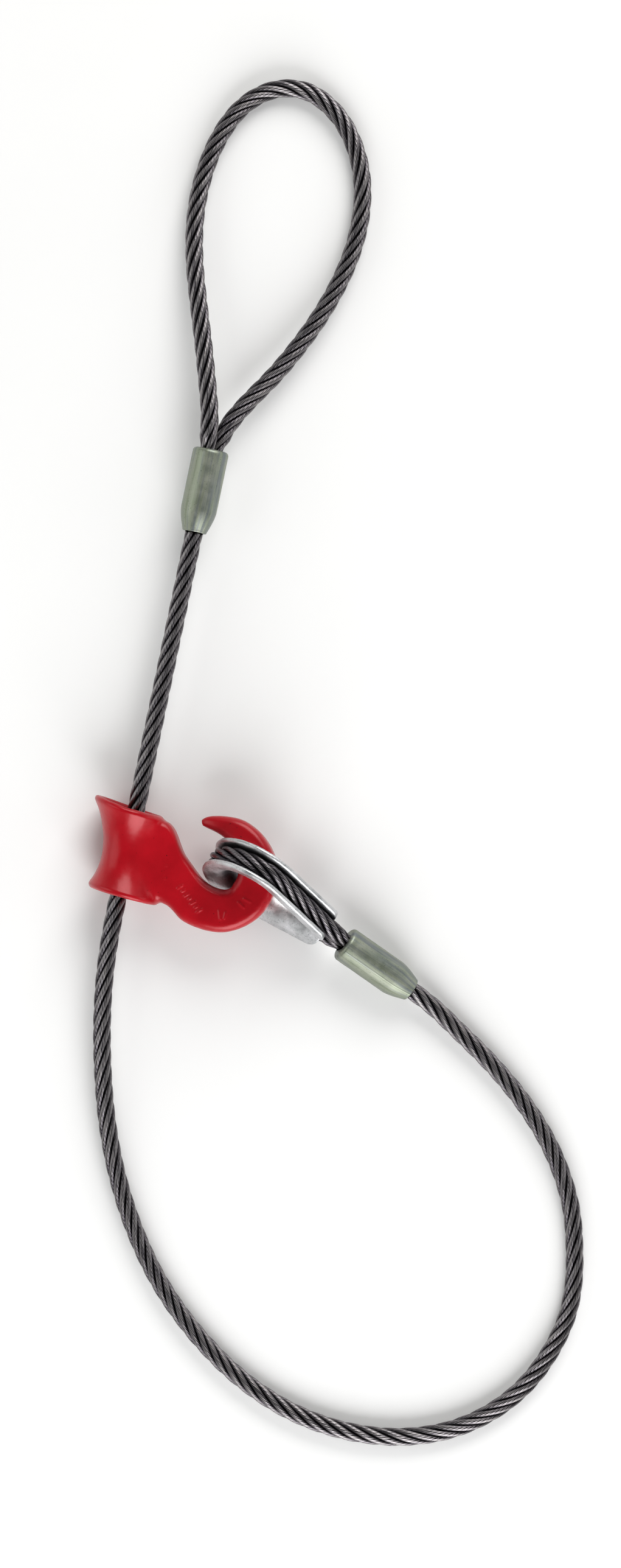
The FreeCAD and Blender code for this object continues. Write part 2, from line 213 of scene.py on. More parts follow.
def new_material(name):
    material = bpy.data.materials.new(name)
    material.use_nodes = True
    nodes = material.node_tree.nodes
    return material, nodes, material.node_tree.links, nodes["Principled BSDF"]


def add_noise(nodes, links, vector, scale, detail=3.0):
    texture = nodes.new("ShaderNodeTexNoise")
    texture.inputs["Scale"].default_value = scale
    texture.inputs["Detail"].default_value = detail
    texture.inputs["Roughness"].default_value = NOISE_ROUGHNESS
    links.new(vector, texture.inputs["Vector"])
    return texture.outputs["Fac"]


def add_ramp(nodes, links, factor, stops):
    """Colour ramp with stops of position and colour."""
    ramp = nodes.new("ShaderNodeValToRGB")
    elements = ramp.color_ramp.elements
    while len(elements) < len(stops):
        elements.new(0.5)
    for element, (position, colour) in zip(elements, stops):
        element.position = position
        element.color = (*colour, 1)
    links.new(factor, ramp.inputs["Fac"])
    return ramp.outputs["Color"]


def add_range(nodes, links, value, low, high):
    """Spread noise over a new range."""
    spread = nodes.new("ShaderNodeMapRange")
    spread.inputs["From Min"].default_value = NOISE_LOW
    spread.inputs["From Max"].default_value = NOISE_HIGH
    spread.inputs["To Min"].default_value = low
    spread.inputs["To Max"].default_value = high
    links.new(value, spread.inputs["Value"])
    return spread.outputs["Result"]


def add_product(nodes, links, share, first, second):
    """The first colour multiplied by a share of the second."""
    mix = nodes.new("ShaderNodeMix")
    mix.data_type = "RGBA"
    mix.blend_type = "MULTIPLY"
    mix.inputs["Factor"].default_value = share
    links.new(first, mix.inputs[MIX_FIRST])
    links.new(second, mix.inputs[MIX_SECOND])
    return mix.outputs[MIX_RESULT]


def add_bump(nodes, links, shader, height, strength, distance):
    bump = nodes.new("ShaderNodeBump")
    bump.inputs["Strength"].default_value = strength
    bump.inputs["Distance"].default_value = distance
    links.new(height, bump.inputs["Height"])
    links.new(bump.outputs["Normal"], shader.inputs["Normal"])


def add_attribute(nodes, name, output):
    attribute = nodes.new("ShaderNodeAttribute")
    attribute.attribute_name = name
    return attribute.outputs[output]


def add_place(nodes):
    """Object coordinates."""
    return nodes.new("ShaderNodeTexCoord").outputs["Object"]


def make_rope_steel():
    """Drawn steel wire: bright on the crowns of the strands, worn and with a painted highlight, and dark
    in the grooves, with oil and painted shade.
    """
    material, nodes, links, shader = new_material("rope_steel")
    shade_and_wear = add_attribute(nodes, "shade_and_wear", "Fac")
    lay = add_attribute(nodes, "lay", "Vector")
    streaks = add_noise(nodes, links, lay, 1.0, detail=2.0)
    # Painted shade darkens the grooves nearly to black, and a painted highlight brightens the crowns,
    # along with their wear.
    steel = add_ramp(
        nodes,
        links,
        shade_and_wear,
        [(0.0, (0.010, 0.009, 0.011)), (0.45, (0.072, 0.066, 0.077)), (1.0, (0.455, 0.435, 0.45))],
    )
    tint = add_ramp(
        nodes,
        links,
        streaks,
        [(0.3, (0.42, 0.41, 0.44)), (0.5, (0.8, 0.79, 0.78)), (0.7, (1, 0.99, 0.93))],
    )
    colour = add_product(nodes, links, 1.0, steel, tint)
    links.new(colour, shader.inputs["Base Color"])
    links.new(add_range(nodes, links, streaks, 0.22, 0.42), shader.inputs["Roughness"])
    shader.inputs["Metallic"].default_value = 1.0
    return material


def make_core_steel():
    """The rope's core, which shows only between the strands, coloured near black as painted shade."""
    material, nodes, links, shader = new_material("rope_core")
    grain = add_noise(nodes, links, add_place(nodes), 900.0)
    # Painted shade: the core is coloured near black, as the shade deep between the strands.
    colour = add_ramp(nodes, links, grain, [(0.3, (0.008, 0.007, 0.008)), (0.7, (0.03, 0.028, 0.03))])
    links.new(colour, shader.inputs["Base Color"])
    shader.inputs["Metallic"].default_value = 0.6
    shader.inputs["Roughness"].default_value = 0.6
    return material


def make_sleeve_zinc():
    """Zinc plating over a swaged sleeve: satin, drawn lengthwise, with a faint greenish yellow tint, and
    with painted reflections in light and dark bluish bands along it.
    """
    material, nodes, links, shader = new_material("sleeve_zinc")
    along = add_attribute(nodes, "lay", "Vector")
    streaks_and_reflection_bands = add_noise(nodes, links, along, 1.0, detail=4.0)
    clouds = add_noise(nodes, links, add_place(nodes), 160.0, detail=5.0)
    specks = add_noise(nodes, links, add_place(nodes), 1500.0, detail=2.0)
    # Painted reflection: light, greenish and dark bluish bands along the sleeve, placed by noise round it,
    # along with the drawn streaks.
    base = add_ramp(
        nodes,
        links,
        streaks_and_reflection_bands,
        [
            (0.25, (0.21, 0.24, 0.175)),
            (0.45, (0.32, 0.345, 0.29)),
            (0.6, (0.19, 0.21, 0.23)),
            (0.8, (0.34, 0.36, 0.30)),
        ],
    )
    cloud = add_ramp(nodes, links, clouds, [(0.3, (0.80, 0.84, 0.76)), (0.7, (1, 0.98, 0.96))])
    speck = add_ramp(nodes, links, specks, [(0.30, (0.45, 0.46, 0.42)), (0.36, (1, 1, 1))])
    colour = add_product(nodes, links, 1.0, base, cloud)
    colour = add_product(nodes, links, 0.8, colour, speck)
    links.new(colour, shader.inputs["Base Color"])
    links.new(add_range(nodes, links, clouds, 0.38, 0.52), shader.inputs["Roughness"])
    shader.inputs["Metallic"].default_value = 0.85
    add_bump(nodes, links, shader, streaks_and_reflection_bands, 0.20, 0.0002)
    return material


def make_galvanized():
    """Hot dip zinc on the thimble: dull, light grey and mottled, with dark specks, and darkened by painted
    shade in the channel and a painted dark reflection inside the crown.
    """
    material, nodes, links, shader = new_material("galvanized")
    place = add_place(nodes)
    clouds = add_noise(nodes, links, place, 120.0, detail=6.0)
    grain = add_noise(nodes, links, place, 1100.0, detail=3.0)
    base = add_ramp(
        nodes,
        links,
        clouds,
        [(0.3, (0.36, 0.37, 0.38)), (0.5, (0.56, 0.57, 0.58)), (0.7, (0.70, 0.70, 0.72))],
    )
    speck = add_ramp(nodes, links, grain, [(0.32, (0.40, 0.41, 0.42)), (0.42, (1, 1, 1))])
    # Painted shade, with the rope's oil, in the channel, and a painted dark reflection round the inside of
    # the crown.
    shade_and_oil = add_ramp(
        nodes, links, add_attribute(nodes, "shade_and_oil", "Fac"), [(0.0, (1, 1, 1)), (1.0, (0.09, 0.09, 0.105))]
    )
    colour = add_product(nodes, links, 0.7, base, speck)
    colour = add_product(nodes, links, 1.0, colour, shade_and_oil)
    links.new(colour, shader.inputs["Base Color"])
    links.new(add_range(nodes, links, clouds, 0.36, 0.55), shader.inputs["Roughness"])
    shader.inputs["Metallic"].default_value = 0.9
    add_bump(nodes, links, shader, grain, 0.35, 0.0002)
    return material


def make_red_paint():
    """Gloss red enamel, flowed over a forging."""
    material, nodes, links, shader = new_material("red_enamel")
    place = add_place(nodes)
    clouds = add_noise(nodes, links, place, 60.0, detail=4.0)
    peel = add_noise(nodes, links, place, 420.0, detail=2.0)
    pits = add_noise(nodes, links, place, 900.0, detail=1.0)
    base = add_ramp(nodes, links, clouds, [(0.3, (0.31, 0.0006, 0.005)), (0.7, (0.40, 0.0009, 0.007))])
    dark = add_ramp(nodes, links, pits, [(0.225, (0.12, 0.10, 0.10)), (0.25, (1, 1, 1))])
    colour = add_product(nodes, links, 1.0, base, dark)
    links.new(colour, shader.inputs["Base Color"])
    links.new(add_range(nodes, links, clouds, 0.36, 0.48), shader.inputs["Roughness"])
    shader.inputs["Specular Tint"].default_value = (1.0, 0.10, 0.14, 1)
    shader.inputs["Coat Weight"].default_value = 0.5
    shader.inputs["Coat Roughness"].default_value = 0.27
    add_bump(nodes, links, shader, peel, 0.30, 0.0003)
    return material


def make_floor_paint():
    material, nodes, links, shader = new_material("pale_floor")
    grain = add_noise(nodes, links, add_place(nodes), 6.0)
    colour = add_ramp(nodes, links, grain, [(0.3, (0.86, 0.86, 0.86)), (0.7, (0.88, 0.88, 0.88))])
    links.new(colour, shader.inputs["Base Color"])
    shader.inputs["Roughness"].default_value = 0.9
    shader.inputs["Specular IOR Level"].default_value = 0.1
    return material


# Rope.
SPLINE_STEPS = 24


def spline_line(route):
    """Points along a route's smooth line, a NURBS spline with the route's points as control points."""
    curve = bpy.data.curves.new("route", "CURVE")
    curve.dimensions = "3D"
    curve.resolution_u = SPLINE_STEPS
    spline = curve.splines.new("NURBS")
    spline.points.add(len(route) - 1)
    for target, point in zip(spline.points, route):
        target.co = (*(Vector(point) * MM), 1)
    spline.order_u = 3
    spline.use_endpoint_u = True
    holder = bpy.data.objects.new("route", curve)
    mesh = bpy.data.meshes.new_from_object(holder)
    line = np.array([v.co for v in mesh.vertices])
    bpy.data.objects.remove(holder)
    bpy.data.curves.remove(curve)
    bpy.data.meshes.remove(mesh)
    return line


def evenly_spaced(line):
    """The same line with points about one ring step apart."""
    steps = np.linalg.norm(np.diff(line, axis=0), axis=1)
    along = np.concatenate([[0], np.cumsum(steps)])
    count = max(2, round(along[-1] / RING_STEP) + 1)
    wanted = np.linspace(0, along[-1], count)
    return np.stack([np.interp(wanted, along, line[:, axis]) for axis in range(3)], axis=1)


def unit(vectors):
    return vectors / np.linalg.norm(vectors, axis=-1, keepdims=True)


def carried_frames(line):
    """Tangent and two cross directions at each point, carried along the line with no twist."""
    tangents = unit(np.gradient(line, axis=0))
    first = np.cross(tangents[0], (0, 0, 1))
    if np.linalg.norm(first) < 0.1:
        first = np.cross(tangents[0], (0, 1, 0))
    normals = [unit(first)]
    for tangent in tangents[1:]:
        carried = normals[-1] - tangent * (normals[-1] @ tangent)
        normals.append(unit(carried))
    normals = np.array(normals)
    return tangents, normals, np.cross(tangents, normals)


def strand_rings(line, phase):
    """Surface points of the six strands: an array of ring, strand, point round the strand, XYZ.

    Also how worn and how lit each point is painted, from 0, in painted shade deep in a groove, to 1, with
    a painted highlight on a crown, and its place in the lay.
    """
    tangents, normals, binormals = carried_frames(line)
    steps = np.linalg.norm(np.diff(line, axis=0), axis=1)
    along = np.concatenate([[0], np.cumsum(steps)])
    strand = np.arange(STRANDS)
    angle = phase + 2 * math.pi * (along[:, None] / ROPE_LAY + strand[None, :] / STRANDS)
    cosine = np.cos(angle)[..., None]
    sine = np.sin(angle)[..., None]
    outward = cosine * normals[:, None] + sine * binormals[:, None]
    sideways = cosine * binormals[:, None] - sine * normals[:, None]
    rise = 2 * math.pi * STRAND_CIRCLE / ROPE_LAY
    strand_line = line[:, None] + STRAND_CIRCLE * outward
    strand_tangent = unit(tangents[:, None] + rise * sideways)
    across = np.cross(strand_tangent, outward)
    count = POINTS_PER_WIRE * WIRES
    point = np.arange(count)
    groove = point % POINTS_PER_WIRE == 0
    radius = np.where(groove, STRAND_RADIUS - WIRE_GROOVE, STRAND_RADIUS)
    turn = 2 * math.pi * (point[None, None, :] / count - along[:, None, None] / WIRE_LAY)
    turn = turn + 2 * math.pi * strand[None, :, None] / STRANDS
    reach = radius * np.cos(turn)
    side = radius * np.sin(turn)
    rings = strand_line[:, :, None] + reach[..., None] * outward[:, :, None]
    rings = rings + side[..., None] * across[:, :, None]
    # Painted shade in the grooves and a painted highlight on the crowns, together with wear.
    crown = np.clip(0.5 + 0.5 * np.cos(turn), 0, 1)
    shade_and_wear = crown**CROWN_FADE_POWER * np.where(groove, GROOVE_SHADE_SHARE, 1.0)
    place = np.empty(rings.shape)
    place[..., 0] = along[:, None, None] / STREAK_LENGTH
    wire = point[None, None, :] / POINTS_PER_WIRE + WIRES * strand[None, :, None]
    place[..., 1] = STREAK_RATE * wire
    place[..., 2] = 0
    return rings, shade_and_wear, place


def tube_rings(line, radius, count):
    """Rings of a plain round tube: an array of ring, 1, point, XYZ."""
    _, normals, binormals = carried_frames(line)
    turn = 2 * math.pi * np.arange(count) / count
    cosine = np.cos(turn)[None, :, None]
    sine = np.sin(turn)[None, :, None]
    circle = cosine * normals[:, None] + sine * binormals[:, None]
    return (line[:, None] + radius * circle)[:, None]


def tube_faces(rings, strands, count, first):
    """Quads along each strand, and a face over each open end."""
    ring = np.arange(rings - 1)[:, None, None]
    strand = np.arange(strands)[None, :, None]
    point = np.arange(count)[None, None, :]
    after = (point + 1) % count

    def index(r, p):
        return first + (r * strands + strand) * count + p

    corners = [index(ring, point), index(ring, after), index(ring + 1, after), index(ring + 1, point)]
    faces = np.stack(corners, axis=-1).reshape(-1, 4).tolist()
    for number in range(strands):
        start = first + number * count
        end = first + ((rings - 1) * strands + number) * count
        faces.append(list(range(start + count - 1, start - 1, -1)))
        faces.append(list(range(end, end + count)))
    return faces


def new_object(name, vertices, faces, materials):
    mesh = bpy.data.meshes.new(name)
    mesh.from_pydata(vertices, [], faces)
    for material in materials:
        mesh.materials.append(material)
    mesh.shade_smooth()
    piece = bpy.data.objects.new(name, mesh)
    bpy.context.scene.collection.objects.link(piece)
    return piece


def set_attribute(mesh, name, kind, values):
    attribute = mesh.attributes.new(name, kind, "POINT")
    key = "vector" if kind == "FLOAT_VECTOR" else "value"
    attribute.data.foreach_set(key, np.asarray(values, np.float32).ravel())


# How much thinner a rope piece's last ring is where it runs on into its neighbour.
TUCK = 0.012


def rope_piece(name, rings, shade_and_wear, place, core, shaped=None):
    """Six laid strands round a core.  shaped moves the points, as where a sleeve squeezes them."""
    strand_points = rings.reshape(-1, 3)
    core_points = core.reshape(-1, 3)
    if shaped:
        strand_points = shaped(strand_points)
        core_points = shaped(core_points)
    strand_faces = tube_faces(rings.shape[0], STRANDS, rings.shape[2], 0)
    core_faces = tube_faces(core.shape[0], 1, core.shape[2], len(strand_points))
    vertices = np.concatenate([strand_points, core_points])
    piece = new_object(name, vertices.tolist(), strand_faces + core_faces, [ROPE_STEEL, CORE_STEEL])
    material_index = np.repeat((0, 1), (len(strand_faces), len(core_faces)))
    piece.data.polygons.foreach_set("material_index", material_index.astype(np.int32))
    # The caps over the ends stay flat, so that one stretch of rope shades evenly into the next.
    side_faces = [len(face) == 4 for face in strand_faces + core_faces]
    piece.data.polygons.foreach_set("use_smooth", side_faces)
    # The strands carry painted shade and highlight with their wear; the core carries none.
    core_shade_and_wear = np.zeros(len(core_points))
    core_place = np.zeros((len(core_points), 3))
    set_attribute(piece.data, "shade_and_wear", "FLOAT", np.concatenate([shade_and_wear.ravel(), core_shade_and_wear]))
    set_attribute(piece.data, "lay", "FLOAT_VECTOR", np.concatenate([place.reshape(-1, 3), core_place]))
    return piece


def tucked(rings, at_start, at_end):
    """The same rings, with the first or the last one drawn in towards its strand's middle."""
    drawn = rings.copy()
    ends = [0] * at_start + [-1] * at_end
    for end in ends:
        middle = rings[end].mean(axis=1, keepdims=True)
        drawn[end] += (middle - rings[end]) * TUCK
    return drawn


def make_ropes(names, lines, phase, shaped=None, brightness_share=1.0):
    """One rope through several lines that follow on, as one piece for each line.

    Each piece runs one ring on into its neighbour, slightly thinner, so that the meeting stays unseen.
    """
    even = [evenly_spaced(line) for line in lines]
    whole = np.concatenate([even[0]] + [line[1:] for line in even[1:]])
    rings, shade_and_wear, place = strand_rings(whole, phase)
    # The painted highlight, painted shade and wear, scaled down for a darker stretch of rope.
    shade_and_wear = shade_and_wear * brightness_share
    core = tube_rings(whole, CORE_RADIUS, CORE_POINTS)
    pieces = []
    first = 0
    for name, line in zip(names, even):
        last = first + len(line) - 1
        start = max(first - 1, 0)
        end = min(last + 1, len(whole) - 1)
        part = slice(start, end + 1)
        strands = tucked(rings[part], start < first, end > last)
        middle = tucked(core[part], start < first, end > last)
        pieces.append(rope_piece(name, strands, shade_and_wear[part], place[part], middle, shaped))
        first = last
    return pieces


# A sleeve squeezes both rope legs together, from this far outside its mouth inwards.
SQUEEZE_REACH = 7.0 * MM
SQUEEZE = 0.79
INSIDE_SLEEVE = 8.0 * MM


def squeezed_towards(sleeve_frame):
    """Squeeze points towards a sleeve's axis near its mouth, where +Y of its frame points out."""
    inverse = np.array(sleeve_frame.inverted())
    forward = np.array(sleeve_frame)

    def squeeze(points):
        local = points @ inverse[:3, :3].T + inverse[:3, 3]
        share = np.clip(local[:, 1] / SQUEEZE_REACH, 0, 1)
        factor = SQUEEZE + (1 - SQUEEZE) * share * share * (3 - 2 * share)
        local[:, 0] *= factor
        local[:, 2] *= factor
        return local @ forward[:3, :3].T + forward[:3, 3]

    return squeeze


def with_ends_inside(line, inwards):
    """Carry both ends of a line straight on into a sleeve."""
    inside = np.array(inwards) * INSIDE_SLEEVE
    return np.concatenate([[line[0] + inside], line, [line[-1] + inside]])


def add_eye():
    inwards = RUN_FRAME.to_3x3() @ Vector((0, -1, 0))
    line = spline_line(EYE_ROUTE)
    inside = with_ends_inside(line, inwards)
    (eye,) = make_ropes(["eye_strands"], [inside], EYE_PHASE, squeezed_towards(RUN_FRAME))
    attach(eye, "root")
    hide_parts("eye_rope", "eye_splice")


def add_main_rope():
    """The straight run and the choke loop: one rope, in the stretches that move differently."""
    lines = [spline_line(route) for route in (STANDING_ROUTE, LOOP_ROUTE, LOOP_END_ROUTE)]
    names = ["standing_strands", "loop_strands", "loop_end_strands"]
    standing, loop, loop_end = make_ropes(names, lines, MAIN_PHASE)
    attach(standing, "root")
    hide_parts("standing_rope")
    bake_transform(loop)
    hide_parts("choke_loop_rope")
    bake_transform(loop_end)
    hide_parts("choke_loop_end_rope")


CROWN_STEPS = 40


def thimble_line():
    """The rope's line round the thimble, from one side of the sleeve's mouth to the other."""
    path_radius = CROWN_RADIUS + THIMBLE_METAL + GROOVE_RADIUS
    half_angle = math.asin(CROWN_RADIUS / (THIMBLE_INSIDE_LENGTH - CROWN_RADIUS))
    tangent = Vector((math.sin(half_angle), math.cos(half_angle), 0)) * path_radius
    to_corner = (tangent.y - LEG_OFFSET) / math.sin(half_angle)
    corner = tangent + Vector((math.cos(half_angle), -math.sin(half_angle), 0)) * to_corner
    trim = THIMBLE_BEND_SHARE * (SLEEVE_FROM_CROWN - corner.x)
    mouth = Vector((SLEEVE_FROM_CROWN, LEG_OFFSET, 0))
    leg_end = corner + (tangent - corner).normalized() * trim
    bend_start = corner + Vector((trim, 0, 0))
    half = [mouth, bend_start]
    # The bend at the corner, as a parabola that touches both straights.
    for share in (0.25, 0.5, 0.75):
        half.append(bend_start.lerp(corner, share).lerp(corner.lerp(leg_end, share), share))
    half += [leg_end, tangent]
    crown = []
    for step in range(1, CROWN_STEPS):
        angle = math.pi / 2 - half_angle + (math.pi + 2 * half_angle) * step / CROWN_STEPS
        crown.append(Vector((math.cos(angle), math.sin(angle), 0)) * path_radius)
    other = [Vector((p.x, -p.y, 0)) for p in reversed(half)]
    return np.array([THIMBLE_FRAME @ p for p in half + crown + other])


# The rope in the thimble is drawn darker: its painted highlight, painted shade and wear are scaled by this
# share.
THIMBLE_ROPE_BRIGHTNESS = 0.8


def add_thimble_rope():
    inwards = THIMBLE_SLEEVE_FRAME.to_3x3() @ Vector((0, -1, 0))
    inside = with_ends_inside(thimble_line(), inwards)
    squeeze = squeezed_towards(THIMBLE_SLEEVE_FRAME)
    names = ["thimble_strands"]
    (strands,) = make_ropes(names, [inside], THIMBLE_PHASE, squeeze, THIMBLE_ROPE_BRIGHTNESS)
    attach(strands, "thimble_end")
    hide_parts("thimble_rope", "thimble_splice")


# Swaged sleeves.
SLEEVE_BARREL = 31.0 * MM
SLEEVE_TAIL_RADIUS = 6.5 * MM
MOUTH_ROUND = 2.0 * MM
MOUTH_INNER_RADIUS = 7.2 * MM
INNER_ROUND = 0.25 * MM
TAIL_ROUND = 0.7 * MM
# The hole is oval at the mouth, round both rope legs, and round at the tail.
HOLE_SQUASH = 0.40
HOLE_OVAL_DEPTH = 16.0 * MM
# The barrel and the taper are drawn in this many steps, and the taper steepens towards the tail.
BARREL_STEPS = 24
TAPER_STEPS = 14
TAPER_SWELL = 0.6
# At the tail, points further out than this belong to the outside.
TAIL_OUTSIDE = 5.9 * MM
# Points round the sleeve.
SLEEVE_POINTS = 160
# Flash lines on a low shoulder, with their widths in degrees.  Half way between the two, the dies
# leave the sleeve a touch flatter.
FLASH_HEIGHT = 0.10 * MM
FLASH_WIDTH = 2.2
FLASH_SHOULDER = 0.26 * MM
SHOULDER_WIDTH = 9
DIE_FLAT = 0.10 * MM
# Faint lumps: their height, and how fast they change round the sleeve and along it.
LUMP_HEIGHT = 0.05 * MM
LUMP_RATE_ROUND = 2
LUMP_RATE_ALONG = 120
# The nick: its depth, width in degrees, length, and distance behind the mouth.
NICK_DEPTH = 0.35 * MM
NICK_WIDTH = 7
NICK_LENGTH = 0.9 * MM
NICK_PLACE = 0.80 * SLEEVE_LENGTH
# Streaks in the zinc, which also place painted reflection bands: how far one runs along the sleeve, and
# how fast they change round it.
DRAWN_LENGTH = 60 * MM
DRAWN_RATE = 3.0


def quarter_round(centre, radius, first, last, steps):
    """Points on a circle from one angle to another, in degrees from straight outwards."""
    angles = [math.radians(first + (last - first) * step / steps) for step in range(steps + 1)]
    return [(centre[0] + radius * math.cos(a), centre[1] + radius * math.sin(a)) for a in angles]


def sleeve_profile():
    """Radius and place along the sleeve, from inside the tail, out of the mouth and back to the tail."""
    inside = [
        (4.85 * MM, -SLEEVE_LENGTH + 2 * MM),
        (5.2 * MM, -SLEEVE_LENGTH / 2),
        (6.3 * MM, -9 * MM),
        (6.9 * MM, -4 * MM),
    ]
    inner_lip = quarter_round((MOUTH_INNER_RADIUS + INNER_ROUND, -INNER_ROUND), INNER_ROUND, 180, 90, 5)
    outer_lip = quarter_round((SLEEVE_RADIUS - MOUTH_ROUND, -MOUTH_ROUND), MOUTH_ROUND, 90, 0, 8)
    barrel = SLEEVE_BARREL - MOUTH_ROUND
    barrel_steps = range(1, BARREL_STEPS + 1)
    straight = [(SLEEVE_RADIUS, -MOUTH_ROUND - barrel * step / BARREL_STEPS) for step in barrel_steps]
    taper = []
    for step in range(1, TAPER_STEPS + 1):
        share = step / TAPER_STEPS
        drop = share * share * (1 + TAPER_SWELL - TAPER_SWELL * share)
        radius = SLEEVE_RADIUS - (SLEEVE_RADIUS - SLEEVE_TAIL_RADIUS) * drop
        taper.append((radius, -SLEEVE_BARREL - (SLEEVE_LENGTH - SLEEVE_BARREL - TAIL_ROUND) * share))
    tail_centre = (SLEEVE_TAIL_RADIUS - TAIL_ROUND, TAIL_ROUND - SLEEVE_LENGTH)
    tail_lip = quarter_round(tail_centre, TAIL_ROUND, 0, -90, 5)[1:]
    tail_edge = [(5.0 * MM, 0.05 * MM - SLEEVE_LENGTH)]
    return inside + inner_lip + outer_lip + straight + taper + tail_lip + tail_edge


def is_outside(radius, along):
    past_mouth = radius > MOUTH_INNER_RADIUS + INNER_ROUND
    return past_mouth or along < -SLEEVE_BARREL and radius > TAIL_OUTSIDE


def flash_height(off_flash):
    """How far the flash lifts the outside, at so many degrees from the nearest flash line."""
    flash = FLASH_HEIGHT * math.exp(-((off_flash / FLASH_WIDTH) ** 2))
    shoulder = FLASH_SHOULDER * math.exp(-off_flash / SHOULDER_WIDTH)
    return flash + shoulder - DIE_FLAT * math.sin(math.radians(off_flash)) ** 2


def nick_depth(off_nick, along):
    """How deep the nick is, at so many degrees round from its middle."""
    off = math.hypot(off_nick / NICK_WIDTH, (along + NICK_PLACE) / NICK_LENGTH)
    return NICK_DEPTH * math.exp(-(off**2))


def add_sleeve(name, node, body, place, legs_angle, flash_angle, nick_angle):
    """Sleeve turned from its profile, with the swaging die's flash lines and one small nick."""
    profile = sleeve_profile()
    vertices = []
    lay = []
    for number in range(SLEEVE_POINTS):
        angle = 2 * math.pi * number / SLEEVE_POINTS
        cosine = math.cos(angle)
        sine = math.sin(angle)
        flash = flash_height(abs((math.degrees(angle) - flash_angle + 90) % 180 - 90))
        off_nick = (math.degrees(angle) - nick_angle + 180) % 360 - 180
        across_legs = math.sin(angle - math.radians(legs_angle)) ** 2
        for radius, along in profile:
            if is_outside(radius, along):
                spot = (cosine * LUMP_RATE_ROUND, sine * LUMP_RATE_ROUND, along * LUMP_RATE_ALONG)
                reach = radius + (flash + LUMP_HEIGHT * noise.noise(Vector(spot)))
                reach -= nick_depth(off_nick, along)
            else:
                reach = radius * (1 - HOLE_SQUASH * across_legs * max(0, 1 + along / HOLE_OVAL_DEPTH))
            vertices.append((reach * cosine, along, reach * sine))
            lay.append((along / DRAWN_LENGTH, DRAWN_RATE * cosine, DRAWN_RATE * sine))
    rows = len(profile)
    faces = []
    for number in range(SLEEVE_POINTS):
        here = number * rows
        there = (number + 1) % SLEEVE_POINTS * rows
        for row in range(rows):
            after = (row + 1) % rows
            faces.append((here + row, here + after, there + after, there + row))
    sleeve = new_object(name, vertices, faces, [SLEEVE_ZINC])
    set_attribute(sleeve.data, "lay", "FLOAT_VECTOR", lay)
    sleeve.data.transform(place)
    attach(sleeve, body)
    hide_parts(node)


# Forged and bent pieces, remeshed from their CAD shapes so that their edges can be eased.
# Smoothing pulls in by one share and pushes back by the other, in turn.
PULL = 0.5
PUSH = 0.53
# Fairing looks up the normals again after this many rounds.
NORMALS_LAST = 10


def remeshed(name, node, voxel, extra=None):
    """A fine even mesh of a CAD node's shape, with extra geometry run into it."""
    joined = bmesh.new()
    joined.from_mesh(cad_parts[node].data)
    if extra:
        joined.from_mesh(extra)
        bpy.data.meshes.remove(extra)
    source = bpy.data.meshes.new(name)
    joined.to_mesh(source)
    joined.free()
    holder = bpy.data.objects.new(name, source)
    bpy.context.scene.collection.objects.link(holder)
    modifier = holder.modifiers.new("remesh", "REMESH")
    modifier.mode = "VOXEL"
    modifier.voxel_size = voxel
    evaluated = holder.evaluated_get(bpy.context.evaluated_depsgraph_get())
    mesh = bpy.data.meshes.new_from_object(evaluated)
    bpy.data.objects.remove(holder)
    bpy.data.meshes.remove(source)
    mesh.name = name
    return mesh


def points_of(mesh):
    points = np.empty(len(mesh.vertices) * 3)
    mesh.vertices.foreach_get("co", points)
    return points.reshape(-1, 3)


def normals_of(mesh, points):
    mesh.vertices.foreach_set("co", points.ravel())
    mesh.update()
    normals = np.empty(len(mesh.vertices) * 3)
    mesh.vertices.foreach_get("normal", normals)
    return normals.reshape(-1, 3)


def to_neighbours(mesh):
    """A function that gives each point's step to the middle of its neighbours."""
    edges = np.empty(len(mesh.edges) * 2, np.int32)
    mesh.edges.foreach_get("vertices", edges)
    first, second = edges.reshape(-1, 2).T
    count = len(mesh.vertices)
    degree = np.bincount(first, minlength=count) + np.bincount(second, minlength=count)

    def gathered(values):
        return np.bincount(first, values[second], count) + np.bincount(second, values[first], count)

    def step(points):
        sums = [gathered(points[:, axis]) for axis in range(3)]
        return np.stack(sums, axis=1) / degree[:, None] - points

    return step


def smoothed(mesh, points, rounds):
    """Even out small steps.  Each round pushes back as far as it pulls in, so that the size stays."""
    step = to_neighbours(mesh)
    for _ in range(rounds):
        points = points + PULL * step(points)
        points = points - PUSH * step(points)
    return points


def faired(mesh, points, weights, rounds):
    """Fill hollow corners, as weights allow, and leave what stands out alone."""
    step = to_neighbours(mesh)
    for number in range(rounds):
        if number % NORMALS_LAST == 0:
            normals = normals_of(mesh, points)
        move = step(points)
        outward = (move * normals).sum(axis=1)
        points = points + (PULL * weights * (outward > 0))[:, None] * move
    return points


def roughened(points, mesh, sizes):
    """Lumps along the normals: pairs of lump width and height."""
    lift = np.zeros(len(points))
    for width, height in sizes:
        lift += [height * noise.noise(Vector(p / width)) for p in points]
    return points + lift[:, None] * normals_of(mesh, points)


def eased(value, low, high):
    share = np.clip((value - low) / (high - low), 0, 1)
    return share * share * (3 - 2 * share)


def finished(name, mesh, points, material, body, node):
    mesh.vertices.foreach_set("co", points.ravel())
    mesh.materials.clear()
    mesh.materials.append(material)
    mesh.shade_smooth()
    mesh.update()
    piece = bpy.data.objects.new(name, mesh)
    bpy.context.scene.collection.objects.link(piece)
    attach(piece, body)
    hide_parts(node)


